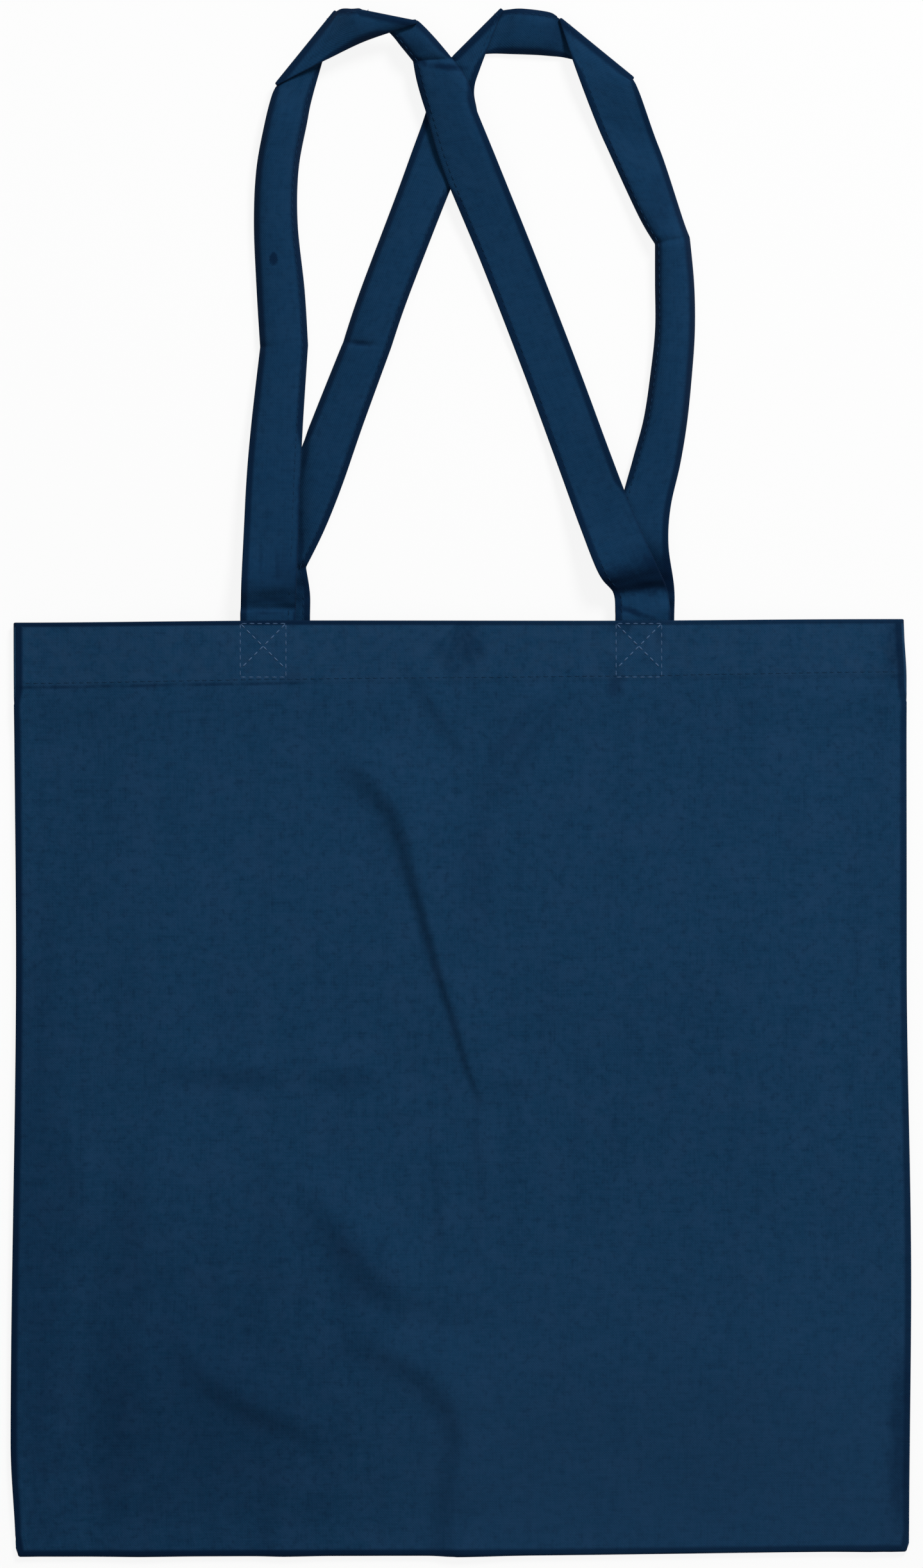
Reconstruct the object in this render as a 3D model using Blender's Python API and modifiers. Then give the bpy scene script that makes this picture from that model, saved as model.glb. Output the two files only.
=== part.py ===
"""A cotton tote bag with two long handles, lying flat on its back.

X runs across the bag, +Y from the bottom fold to the handles, +Z up.
The origin is on the surface it lies on, under the middle of the whole bag.
"""

import math

import bmesh
import bpy
from mathutils import Vector

MM = 0.001

# Driving sizes, in millimetres

BAG_WIDTH = 380.0
BAG_HEIGHT = 398.0
CLOTH = 0.45
PLY_GAP = 0.30
HEM_DEPTH = 26.5
SEAM_ALLOWANCE = 8.0
SEAM_RUN_OUT = 12.0
SEAM_BELOW_HEM = 2.0
SEAM_ABOVE_FOOT = 3.0
CORNER_ROUND = 3.0

POCKET_HEIGHT = 9.0
MOUTH_HEIGHT = 9.5
MOUTH_SIDE_HEIGHT = 4.6
FOLD_HEIGHT = 1.8
SLOPE_WIDTH = 70.0
FOOT_SLOPE_WIDTH = 90.0

CREASE_TOP = (-46.0, -60.0)
CREASE_FOOT = (8.0, -200.0)
CREASE_DEPTH = 1.6
CREASE_WIDTH = 14.0

STRAP_WIDTH = 23.0
STRAP_THICKNESS = 1.2
STRAP_SPREAD = 158.0
STRAP_RISE = 261.0
STRAP_FOLD_RADIUS = 1.1
STRAP_LIFT_HEIGHT = 1.0
STRAP_END_ABOVE_HEM = 1.5

THREAD = 0.40
THREAD_GAP = 0.30
FLOOR_CLEARANCE = 0.05
BOX_WIDTH = 20.5
BOX_TOP = 1.2
BOX_ABOVE_HEM = 2.8
STITCH_ABOVE_HEM = 1.3

COLUMN_STEP = 15.0
ROW_STEP = 24.0

# Values that follow from them

PLY = CLOTH + PLY_GAP
SIDE_HEIGHT = 3.0 * PLY
HEM_LIFT = CLOTH / 2.0 + THREAD_GAP + THREAD + FLOOR_CLEARANCE
HEM_FRONT = HEM_LIFT + MOUTH_HEIGHT
STRAP_SEAT = PLY + CLOTH / 2.0 + PLY_GAP + STRAP_THICKNESS / 2.0
FRONT_STRAP_SEAT = HEM_FRONT - STRAP_SEAT
BACK_STRAP_SEAT = HEM_LIFT + STRAP_SEAT
MOUTH_Y = (BAG_HEIGHT - STRAP_RISE) / 2.0
BOX_HEIGHT = HEM_DEPTH - BOX_TOP - BOX_ABOVE_HEM
HEM_STITCH_DROP = HEM_DEPTH - STITCH_ABOVE_HEM

NAVY = (0.0093, 0.0369, 0.0865)
THREAD_BLUE = (0.0232, 0.0595, 0.1170)


def clear_scene():
    for item in list(bpy.data.objects):
        bpy.data.objects.remove(item, do_unlink=True)


def make_collection(name):
    collection = bpy.data.collections.new(name)
    bpy.context.scene.collection.children.link(collection)
    return collection


def make_material(name, colour, roughness):
    material = bpy.data.materials.new(name)
    material.use_nodes = True
    shader = material.node_tree.nodes["Principled BSDF"]
    shader.inputs["Base Color"].default_value = (*colour, 1.0)
    shader.inputs["Roughness"].default_value = roughness
    shader.inputs["Metallic"].default_value = 0.0
    return material


def smooth_step(value):
    value = min(max(value, 0.0), 1.0)
    return value * value * (3.0 - 2.0 * value)


def mix(first, second, share):
    return first + (second - first) * share


# The bag: one length of cloth, folded at the bottom and hemmed at the mouth.
# Heights along it are measured down from the mouth, so they are negative.

def half_width(y):
    near_foot = min(max(y + BAG_HEIGHT, 0.0), CORNER_ROUND)
    missing = CORNER_ROUND - math.sqrt(CORNER_ROUND ** 2 - (CORNER_ROUND - near_foot) ** 2)
    return BAG_WIDTH / 2.0 - missing


def seam_share(y):
    """1 where the seam allowance lies inside the side seam, 0 at the hem and the bottom fold."""
    below_hem = smooth_step((-y - HEM_DEPTH - SEAM_BELOW_HEM) / SEAM_RUN_OUT)
    above_foot = smooth_step((y + BAG_HEIGHT - SEAM_ABOVE_FOOT) / SEAM_RUN_OUT)
    return min(below_hem, above_foot)


def side_height(y):
    below_hem = smooth_step((-y - HEM_DEPTH - SEAM_BELOW_HEM) / SEAM_RUN_OUT)
    above_foot = smooth_step((y + BAG_HEIGHT - SEAM_ABOVE_FOOT) / SEAM_RUN_OUT)
    height = mix(MOUTH_SIDE_HEIGHT, SIDE_HEIGHT, below_hem)
    return mix(FOLD_HEIGHT, height, above_foot)


def crease(x, y):
    top = Vector(CREASE_TOP)
    along = Vector(CREASE_FOOT) - top
    share = min(max((Vector((x, y)) - top).dot(along) / along.length_squared, 0.0), 1.0)
    away = (Vector((x, y)) - top - along * share).length
    fade = math.sin(math.pi * mix(0.15, 0.85, share))
    return CREASE_DEPTH * fade * math.exp(-(away / CREASE_WIDTH) ** 2)


def bag_height_at(x, y):
    """Height of the front cloth over the back cloth."""
    middle = mix(POCKET_HEIGHT, MOUTH_HEIGHT, smooth_step(1.0 + (y + HEM_DEPTH) / 60.0))
    middle = mix(FOLD_HEIGHT, middle, smooth_step((y + BAG_HEIGHT) / FOOT_SLOPE_WIDTH))
    edge = side_height(y)
    inward = (half_width(y) - abs(x)) / SLOPE_WIDTH
    return mix(edge, max(middle, edge), smooth_step(inward)) - crease(x, y)


def back_height_at(y):
    return mix(HEM_LIFT, CLOTH / 2.0, smooth_step((-y - HEM_DEPTH - SEAM_BELOW_HEM) / SEAM_RUN_OUT))


def side_profile(y, ply):
    """Distance in from the side and down from the front cloth, from the cloth to the seam's tip."""
    turn = PLY / 2.0
    allowance = [
        (turn, 0.0),
        (0.0, turn),
        (turn, PLY),
        (SEAM_ALLOWANCE - turn, PLY),
        (SEAM_ALLOWANCE, PLY + PLY_GAP / 2.0),
    ]
    radius = side_height(y) / 2.0 - ply * PLY
    inset = ply * PLY
    share = seam_share(y)
    points = []
    for place, angle in zip(allowance, (0, 28, 50, 66, 80)):
        swing = math.radians(angle)
        round_in = inset + radius * (1.0 - math.sin(swing))
        round_down = radius * (1.0 - math.cos(swing))
        points.append((mix(round_in, place[0], share), mix(round_down, place[1], share)))
    return points


def column_shares():
    steps = round(BAG_WIDTH / COLUMN_STEP)
    return [2.0 * index / steps - 1.0 for index in range(1, steps)]


def row_points(y, ply):
    """Points across the bag as (x, depth below the front cloth, height of the pocket)."""
    half = half_width(y)
    profile = side_profile(y, ply)
    left = [(-half + inset, drop) for inset, drop in reversed(profile)]
    right = [(half - inset, drop) for inset, drop in profile]
    inner = half - profile[0][0]
    middle = [(share * inner, 0.0) for share in column_shares()]
    points = []
    for x, drop in left + middle + right:
        points.append((x, drop + ply * PLY, bag_height_at(x, y)))
    return points


def bag_rows():
    """Rows of (x, y, z) from the front hem's inner edge, round the bottom, to the back hem's."""
    front = []
    turn = PLY / 2.0
    hem_steps = (HEM_DEPTH, HEM_DEPTH * 0.5, turn)
    for depth in hem_steps:
        front.append(place_row(-depth, 1, 1.0))
    outer = place_row(-turn, 0, 1.0)
    inner = place_row(-turn, 1, 1.0)
    for angle in (135, 90, 45):
        swing = math.radians(angle)
        share = (1.0 - math.cos(swing)) / 2.0
        row = []
        for far, near in zip(outer, inner):
            point = far.lerp(near, share)
            point.y = -turn + turn * math.sin(swing)
            row.append(point)
        front.append(row)
    seam_top = HEM_DEPTH + SEAM_BELOW_HEM
    seam_foot = BAG_HEIGHT - SEAM_ABOVE_FOOT
    plain_top = seam_top + SEAM_RUN_OUT
    plain_foot = seam_foot - SEAM_RUN_OUT
    depths = [turn, HEM_DEPTH * 0.5, HEM_DEPTH, seam_top, seam_top + SEAM_RUN_OUT / 2.0]
    steps = round((plain_foot - plain_top) / ROW_STEP)
    depths += [mix(plain_top, plain_foot, step / steps) for step in range(steps + 1)]
    depths += [seam_foot - SEAM_RUN_OUT / 2.0, seam_foot, BAG_HEIGHT - FOLD_HEIGHT / 2.0]
    for depth in depths:
        front.append(place_row(-depth, 0, 1.0))
    back = []
    for row in reversed(front):
        back.append(mirror_row(row))
    fold_y = -BAG_HEIGHT + FOLD_HEIGHT / 2.0
    fold = [fold_row(fold_y, angle) for angle in (45, 90, 135)]
    return front + fold + back


def place_row(y, ply, side):
    row = []
    for x, drop, height in row_points(y, ply):
        level = height / 2.0 - drop
        row.append(Vector((x, y, back_height_at(y) + height / 2.0 + side * level)))
    return row


def mirror_row(row):
    """The back cloth's row that faces a front row, with the back lying flat."""
    mirrored = []
    for point in row:
        y = min(point.y, -PLY / 2.0)
        middle = back_height_at(y) + bag_height_at(point.x, y) / 2.0
        mirrored.append(Vector((point.x, point.y, 2.0 * middle - point.z)))
    return mirrored


def fold_row(y, angle):
    swing = math.radians(angle)
    row = []
    for x, drop, height in row_points(y, 0):
        radius = height / 2.0 - drop
        middle = back_height_at(y) + height / 2.0
        row.append(Vector((x, y - radius * math.sin(swing), middle + radius * math.cos(swing))))
    return row


def solidify(item, thickness):
    modifier = item.modifiers.new("thickness", "SOLIDIFY")
    modifier.thickness = thickness * MM
    modifier.offset = 0.0
    modifier.use_even_offset = True
    modifier.use_rim = True


def mesh_object(name, form, collection, material):
    bmesh.ops.recalc_face_normals(form, faces=form.faces)
    mesh = bpy.data.meshes.new(name)
    form.to_mesh(mesh)
    form.free()
    mesh.shade_smooth()
    mesh.materials.append(material)
    item = bpy.data.objects.new(name, mesh)
    collection.objects.link(item)
    return item


def build_bag(collection, material):
    form = bmesh.new()
    rows = []
    for row in bag_rows():
        rows.append([form.verts.new((p.x * MM, (p.y + MOUTH_Y) * MM, p.z * MM)) for p in row])
    for lower, upper in zip(rows, rows[1:]):
        for index in range(len(lower) - 1):
            form.faces.new((lower[index], lower[index + 1], upper[index + 1], upper[index]))
    last = len(rows) - 1
    for side in (0, -1):
        for index in range(last // 2):
            corners = [rows[index][side], rows[index + 1][side]]
            if last - index - 1 != index + 1:
                corners.append(rows[last - index - 1][side])
            corners.append(rows[last - index][side])
            form.faces.new(corners)
    item = mesh_object("bag_body", form, collection, material)
    solidify(item, CLOTH)
    return item


# The handles. Each line gives a crossing of the strap: how far across, as a share of half the
# spread, how far up, as a share of the rise, which way the crossing points in degrees, how long it
# looks from above as a share of the strap's width, then in lift heights the places of its two edges
# and how far its middle arches over them. OVER and UNDER mark a fold after which the strap lies on
# or under itself.

FLAT = 0
OVER = 1
UNDER = -1

FRONT_ROUTE = (
    (-1.036, 0.024, 0, 1.00, 6.6, 6.6, 0.0, FLAT),
    (-1.031, 0.046, 0, 1.00, 12.0, 12.0, 0.0, FLAT),
    (-1.019, 0.124, 0, 1.00, 8.5, 8.5, 0.0, FLAT),
    (-1.004, 0.229, 0, 0.97, 7.0, 6.0, 1.5, FLAT),
    (-0.985, 0.323, 0, 0.92, 4.5, 4.0, 2.8, FLAT),
    (-0.952, 0.450, 3, 0.85, 2.5, 1.5, 3.6, FLAT),
    (-0.971, 0.542, 0, 0.85, 2.0, 0.9, 3.8, FLAT),
    (-0.997, 0.650, 0, 0.77, 2.5, 0.9, 4.6, FLAT),
    (-0.988, 0.738, 0, 0.74, 3.5, 0.9, 4.8, FLAT),
    (-0.943, 0.813, 0, 0.74, 4.5, 1.2, 4.6, FLAT),
    (-0.905, 0.862, 5, 0.74, 4.0, 2.0, 2.6, FLAT),
    (-0.836, 0.937, 51, 1.72, 5.0, 4.5, 0.0, OVER),
    (-0.707, 0.953, 64, 1.14, 8.0, 8.5, 0.0, FLAT),
    (-0.567, 0.970, 101, 0.62, 8.0, 13.0, 4.0, FLAT),
    (-0.452, 0.980, 148, 0.72, 9.5, 14.5, 2.5, FLAT),
    (-0.386, 0.986, 169, 1.03, 11.5, 14.0, 0.0, UNDER),
    (-0.310, 0.971, -161, 0.56, 8.5, 6.5, 1.0, FLAT),
    (-0.230, 0.945, -165, 0.60, 8.0, 6.0, 3.5, FLAT),
    (-0.149, 0.916, -178, 0.71, 7.0, 6.0, 2.0, FLAT),
    (-0.101, 0.884, 179, 0.91, 9.0, 7.5, 1.5, FLAT),
    (-0.070, 0.853, 179, 0.93, 9.5, 8.0, 1.0, FLAT),
    (-0.047, 0.830, -176, 0.90, 9.5, 8.0, 1.0, FLAT),
    (0.052, 0.744, -172, 1.00, 9.0, 8.0, 0.0, FLAT),
    (0.257, 0.592, -169, 0.98, 3.5, 3.5, 0.0, FLAT),
    (0.481, 0.417, -169, 0.98, 2.5, 2.0, 0.0, FLAT),
    (0.664, 0.266, -169, 0.98, 7.5, 4.0, 0.0, FLAT),
    (0.788, 0.165, -166, 1.00, 8.5, 8.0, 0.0, FLAT),
    (0.892, 0.085, -169, 1.05, 12.0, 12.0, 0.0, FLAT),
    (0.938, 0.050, -175, 1.02, 6.4, 6.4, 0.0, FLAT),
)
FRONT_START = (-1.038, 0.014)
FRONT_END = (0.960, 0.014)

BACK_ROUTE = (
    (-0.966, 0.086, 4, 0.89, 3.0, 3.0, 0.0, FLAT),
    (-0.876, 0.155, -8, 0.95, 2.5, 2.5, 0.0, FLAT),
    (-0.779, 0.230, -10, 0.95, 1.5, 2.5, 0.8, FLAT),
    (-0.662, 0.327, -8, 0.91, 0.9, 2.5, 2.0, FLAT),
    (-0.504, 0.452, -7, 0.86, 0.9, 3.0, 3.2, FLAT),
    (-0.414, 0.533, -9, 0.86, 0.9, 3.0, 3.2, FLAT),
    (-0.221, 0.686, -9, 0.88, 0.9, 2.5, 2.5, FLAT),
    (-0.128, 0.758, -10, 0.93, 1.5, 2.5, 1.0, FLAT),
    (-0.048, 0.824, -12, 0.95, 2.5, 3.0, 0.0, FLAT),
    (-0.042, 0.871, -8, 0.78, 3.0, 3.6, 0.0, FLAT),
    (-0.020, 0.904, 3, 0.87, 3.2, 3.8, 0.0, FLAT),
    (0.090, 0.961, 45, 1.25, 3.0, 3.2, 0.0, UNDER),
    (0.210, 0.964, 60, 0.93, 0.9, 2.5, 0.6, FLAT),
    (0.310, 0.964, 77, 0.82, 0.9, 3.0, 3.2, FLAT),
    (0.452, 0.961, 98, 0.80, 0.9, 3.0, 3.4, FLAT),
    (0.559, 0.955, 116, 0.92, 0.9, 3.0, 1.2, FLAT),
    (0.736, 0.936, 141, 1.72, 2.4, 4.0, 0.0, OVER),
    (0.797, 0.879, 163, 1.18, 4.5, 6.0, 0.0, FLAT),
    (0.888, 0.805, 175, 1.01, 3.0, 4.0, 0.0, FLAT),
    (0.957, 0.754, 176, 0.95, 1.5, 3.5, 1.8, FLAT),
    (1.083, 0.658, 178, 0.77, 0.9, 3.5, 4.4, FLAT),
    (1.140, 0.622, -169, 0.62, 0.9, 3.5, 5.5, FLAT),
    (1.150, 0.551, 178, 0.69, 0.9, 3.0, 5.0, FLAT),
    (1.152, 0.476, 178, 0.70, 0.9, 3.0, 5.0, FLAT),
    (1.131, 0.402, 176, 0.73, 0.9, 3.0, 4.8, FLAT),
    (1.100, 0.328, 175, 0.77, 0.9, 2.5, 4.3, FLAT),
    (1.057, 0.261, 175, 0.85, 1.2, 2.2, 3.0, FLAT),
    (0.997, 0.187, 180, 0.91, 2.0, 2.2, 1.0, FLAT),
    (0.983, 0.124, 180, 0.93, 2.8, 2.8, 0.0, FLAT),
)
BACK_START = (-0.961, 0.046)
BACK_END = (1.004, 0.056)


def crossing(side, up, turn, reach, lift_a, lift_b, arch=0.0):
    centre = Vector((side * STRAP_SPREAD / 2.0, MOUTH_Y + up * STRAP_RISE))
    angle = math.radians(turn)
    arm = Vector((math.cos(angle), math.sin(angle))) * reach * STRAP_WIDTH / 2.0
    start = centre - arm
    end = centre + arm
    return Vector((*start, lift_a)), Vector((*end, lift_b)), arch


def sewn_end(side, up, turn, seat):
    """The strap's end inside the hem, and where it leaves the mouth."""
    below = -(HEM_DEPTH - STRAP_END_ABOVE_HEM) / STRAP_RISE
    return [crossing(side, level, turn, 1.0, seat, seat) for level in (below, 0.0, up)]


def strap_lines(route, start, end, seat):
    """Crossings of a strap from one sewn end to the other, with its folds rounded."""
    plain = []
    for station in route:
        heights = [STRAP_LIFT_HEIGHT * height for height in station[4:7]]
        plain.append((crossing(*station[:4], *heights), station[7]))
    lines = sewn_end(*start, 0.0, seat)
    for index, (line, fold) in enumerate(plain):
        if fold == FLAT:
            lines.append(line)
            continue
        before = plain[index - 1][0]
        along = (line[1] - line[0]).to_2d().normalized()
        inward = Vector((-along.y, along.x))
        back = ((before[0] + before[1]) - (line[0] + line[1])).to_2d()
        if inward.dot(back) < 0.0:
            inward.negate()
        shift = Vector((*(inward * STRAP_FOLD_RADIUS), 0.0))
        rise = Vector((0.0, 0.0, fold * STRAP_FOLD_RADIUS))
        lines.append((line[0] + shift - rise, line[1] + shift - rise, 0.0))
        lines.append(line)
        lines.append((line[0] + shift + rise, line[1] + shift + rise, 0.0))
    lines += reversed(sewn_end(*end, 180.0, seat))
    return lines


def build_handle(name, lines, collection, material):
    form = bmesh.new()
    rows = []
    for start, end, arch in lines:
        row = []
        for share in (0.0, 0.12, 0.32, 0.68, 0.88, 1.0):
            point = start.lerp(end, share)
            point.z += arch * (1.0 - abs(2.0 * share - 1.0) ** 4)
            row.append(form.verts.new(point * MM))
        rows.append(row)
    for lower, upper in zip(rows, rows[1:]):
        for index in range(len(lower) - 1):
            form.faces.new((lower[index], lower[index + 1], upper[index + 1], upper[index]))
    item = mesh_object(name, form, collection, material)
    solidify(item, STRAP_THICKNESS)
    return item


# The stitching

def build_hem_stitching(collection, material):
    y = -HEM_STITCH_DROP
    off = CLOTH / 2.0 + THREAD_GAP + THREAD / 2.0
    front = row_points(y, 0)
    middle = back_height_at(y)
    points = []
    for x, drop, height in front:
        if drop == 0.0:
            points.append((x, middle + height + off))
    radius = side_height(y) / 2.0 + off
    centre = half_width(y) - side_height(y) / 2.0
    level = middle + side_height(y) / 2.0
    for angle in (60, 30, 0, -30, -60, -90):
        swing = math.radians(angle)
        points.append((centre + radius * math.cos(swing), level + radius * math.sin(swing)))
    for angle in (-90, -120, -150, 180, 150, 120):
        swing = math.radians(angle)
        points.append((-centre + radius * math.cos(swing), level + radius * math.sin(swing)))
    curve = bpy.data.curves.new("hem_stitching", "CURVE")
    curve.dimensions = "3D"
    curve.bevel_depth = THREAD / 2.0 * MM
    curve.bevel_resolution = 1
    line = curve.splines.new("POLY")
    line.points.add(len(points) - 1)
    for target, (x, z) in zip(line.points, points):
        target.co = (x * MM, (y + MOUTH_Y) * MM, z * MM, 1.0)
    line.use_cyclic_u = True
    curve.materials.append(material)
    item = bpy.data.objects.new("hem_stitching", curve)
    collection.objects.link(item)


def outline(curve, corners):
    line = curve.splines.new("POLY")
    line.points.add(len(corners) - 1)
    for target, (x, y) in zip(line.points, corners):
        target.co = (x * MM, y * MM, 0.0, 1.0)
    line.use_cyclic_u = True


def build_box_stitch(name, side, level, collection, material):
    """A sewn box with a cross in it, as one flat net of thread."""
    curve = bpy.data.curves.new(name, "CURVE")
    curve.dimensions = "2D"
    curve.fill_mode = "BOTH"
    curve.extrude = THREAD / 2.0 * MM
    half_x = BOX_WIDTH / 2.0
    half_y = BOX_HEIGHT / 2.0
    outline(curve, [(-half_x, -half_y), (half_x, -half_y), (half_x, half_y), (-half_x, half_y)])
    diagonal = math.hypot(half_x, half_y)
    in_x = THREAD / 2.0 * diagonal / half_y
    in_y = THREAD / 2.0 * diagonal / half_x
    edge_x = half_x - THREAD
    edge_y = half_y - THREAD
    tall = edge_x * half_y / half_x - in_y
    wide = edge_y * half_x / half_y - in_x
    for way in (1, -1):
        outline(curve, [(way * in_x, 0.0), (way * edge_x, tall), (way * edge_x, -tall)])
        outline(curve, [(0.0, way * in_y), (wide, way * edge_y), (-wide, way * edge_y)])
    curve.materials.append(material)
    item = bpy.data.objects.new(name, curve)
    centre_y = MOUTH_Y - BOX_TOP - BOX_HEIGHT / 2.0
    item.location = (side * STRAP_SPREAD / 2.0 * MM, centre_y * MM, level * MM)
    collection.objects.link(item)


def build_box_stitches(collection, material):
    off = CLOTH / 2.0 + THREAD_GAP + THREAD / 2.0
    top = HEM_FRONT + off
    foot = HEM_LIFT - off
    build_box_stitch("front_left_box_stitch", FRONT_START[0], top, collection, material)
    build_box_stitch("front_right_box_stitch", FRONT_END[0], top, collection, material)
    build_box_stitch("back_left_box_stitch", BACK_START[0], foot, collection, material)
    build_box_stitch("back_right_box_stitch", BACK_END[0], foot, collection, material)


def main():
    clear_scene()
    collection = make_collection("cotton_tote_bag")
    cloth = make_material("navy_cotton", NAVY, 0.92)
    webbing = make_material("navy_strap", NAVY, 0.90)
    thread = make_material("blue_thread", THREAD_BLUE, 0.70)
    build_bag(collection, cloth)
    front = strap_lines(FRONT_ROUTE, FRONT_START, FRONT_END, FRONT_STRAP_SEAT)
    back = strap_lines(BACK_ROUTE, BACK_START, BACK_END, BACK_STRAP_SEAT)
    build_handle("front_handle", front, collection, webbing)
    build_handle("back_handle", back, collection, webbing)
    build_hem_stitching(collection, thread)
    build_box_stitches(collection, thread)


main()
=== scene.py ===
import math

import bmesh
import bpy
from mathutils import Matrix, Vector, noise


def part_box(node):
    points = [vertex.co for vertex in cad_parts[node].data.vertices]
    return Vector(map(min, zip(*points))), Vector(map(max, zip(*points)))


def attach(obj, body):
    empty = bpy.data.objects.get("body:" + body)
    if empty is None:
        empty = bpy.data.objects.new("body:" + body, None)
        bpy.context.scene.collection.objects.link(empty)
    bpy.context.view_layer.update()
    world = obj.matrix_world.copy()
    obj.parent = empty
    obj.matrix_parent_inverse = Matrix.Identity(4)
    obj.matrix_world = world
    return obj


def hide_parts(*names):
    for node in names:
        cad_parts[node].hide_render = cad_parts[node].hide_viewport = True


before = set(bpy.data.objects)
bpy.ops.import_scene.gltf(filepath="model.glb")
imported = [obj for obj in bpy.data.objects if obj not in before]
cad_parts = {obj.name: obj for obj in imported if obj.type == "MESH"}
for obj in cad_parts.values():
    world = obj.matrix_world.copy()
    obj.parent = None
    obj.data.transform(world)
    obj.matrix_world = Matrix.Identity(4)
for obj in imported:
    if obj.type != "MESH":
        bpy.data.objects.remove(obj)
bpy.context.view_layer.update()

# A navy cotton tote bag, lying on its back and seen from straight above.
# Lengths in the dictionaries are millimetres, and y along the bag is measured from its mouth.

mm = 0.001
bodyLow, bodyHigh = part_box("bag_body")
bagWidth = (bodyHigh[0] - bodyLow[0]) / mm - 0.9
bagHeight = (bodyHigh[1] - bodyLow[1]) / mm - 0.5
mouthY = bodyHigh[1] / mm - 0.22
scene = bpy.context.scene


def ease(value):
    value = min(max(value, 0.0), 1.0)
    return value * value * (3.0 - 2.0 * value)


def between(first, second, share):
    return first + (second - first) * share


def readCurve(knots, at):
    # Smooth line through a few (place, value) pairs.
    if at <= knots[0][0]:
        return knots[0][1]
    for (p0, v0), (p1, v1) in zip(knots, knots[1:]):
        if at <= p1:
            return between(v0, v1, ease((at - p0) / (p1 - p0)))
    return knots[-1][1]


class Paint:
    # A material's node tree with short ways to add to it.

    def __init__(self, name):
        self.material = bpy.data.materials.new(name)
        self.material.use_nodes = True
        self.tree = self.material.node_tree
        self.shader = self.tree.nodes["Principled BSDF"]

    def node(self, kind, **values):
        made = self.tree.nodes.new(kind)
        for name, value in values.items():
            setattr(made, name, value)
        return made

    def feed(self, socket, value):
        if isinstance(value, bpy.types.NodeSocket):
            self.tree.links.new(value, socket)
        else:
            socket.default_value = value

    def set(self, name, value):
        self.feed(self.shader.inputs[name], value)

    def math(self, operation, first, second=0.0):
        made = self.node("ShaderNodeMath", operation=operation)
        for socket, value in zip(made.inputs, (first, second)):
            self.feed(socket, value)
        return made.outputs[0]

    def times(self, first, second):
        return self.math("MULTIPLY", first, second)

    def step(self, value, start, end, low=0.0, high=1.0):
        made = self.node("ShaderNodeMapRange", interpolation_type="SMOOTHSTEP")
        self.feed(made.inputs["Value"], value)
        for name, limit in (("From Min", start), ("From Max", end), ("To Min", low), ("To Max", high)):
            made.inputs[name].default_value = limit
        return made.outputs["Result"]

    def noise(self, vector, scale, detail=2.0, roughness=0.5):
        made = self.node("ShaderNodeTexNoise")
        self.feed(made.inputs["Vector"], vector)
        for name, value in (("Scale", scale), ("Detail", detail), ("Roughness", roughness)):
            made.inputs[name].default_value = value
        return made.outputs["Fac"]

    def attribute(self, name):
        return self.node("ShaderNodeAttribute", attribute_name=name).outputs["Fac"]

    def split(self, vector):
        parts = self.node("ShaderNodeSeparateXYZ")
        self.feed(parts.inputs[0], vector)
        return parts.outputs["X"], parts.outputs["Y"]

    def bump(self, height, strength, distance):
        made = self.node("ShaderNodeBump")
        made.inputs["Strength"].default_value = strength
        made.inputs["Distance"].default_value = distance * mm
        self.feed(made.inputs["Height"], height)
        self.set("Normal", made.outputs["Normal"])

    def stretch(self, vector, scale):
        made = self.node("ShaderNodeMapping")
        self.feed(made.inputs["Vector"], vector)
        made.inputs["Scale"].default_value = scale
        return made.outputs["Vector"]

    def mix(self, share, first, second):
        made = self.node("ShaderNodeMix", data_type="RGBA")
        self.feed(made.inputs["Factor"], share)
        for socket, value in ((made.inputs[6], first), (made.inputs[7], second)):
            self.feed(socket, value if isinstance(value, bpy.types.NodeSocket) else (*value, 1.0))
        return made.outputs[2]

    # mixes toward the dark colour used for painted shade and for the strap's dark mark
    def darken(self, share, colour):
        return self.mix(share, colour, cotton["markAndShadeDark"])


# Camera, floor and light

view = {
    "pixels": (1440, 2446),
    "pixelsPerMm": 3.658,
    "bagMiddlePixel": 718.5,   # the bag's centre line in the photograph
    "mouthPixel": 970.0,
    "cameraHeight": 4000.0,
    "sensor": 24.0,
}


def makeCamera():
    wide, tall = view["pixels"]
    data = bpy.data.cameras.new("camera")
    camera = bpy.data.objects.new("camera", data)
    scene.collection.objects.link(camera)
    x = (wide / 2 - view["bagMiddlePixel"]) / view["pixelsPerMm"]
    y = mouthY + (view["mouthPixel"] - tall / 2) / view["pixelsPerMm"]
    camera.location = (x * mm, y * mm, view["cameraHeight"] * mm)
    data.sensor_fit = "VERTICAL"
    data.sensor_height = view["sensor"]
    data.lens = view["sensor"] * view["cameraHeight"] / (tall / view["pixelsPerMm"])
    data.clip_end = 50.0
    scene.camera = camera


light = {
    "keyPlace": (1.15, 2.0, 1.9),
    "keySize": 0.9,
    "keyPower": 86.0,
    "fillPlace": (-1.2, -0.4, 2.4),
    "fillSize": 2.4,
    "fillPower": 12.0,
    "worldLevel": 0.26,
    "floorSize": 6.0,
    "floorHeight": -0.4,
    "floorLevel": 0.78,
    "floorWhite": 0.88,        # how far the floor is painted white for the camera
}


def makeLamp(name, place, size, power):
    data = bpy.data.lights.new(name, "AREA")
    data.shape = "DISK"
    data.size = size
    data.energy = power
    lamp = bpy.data.objects.new(name, data)
    lamp.location = place
    lamp.rotation_euler = (-Vector(place)).to_track_quat("-Z", "Y").to_euler()
    scene.collection.objects.link(lamp)


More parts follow.
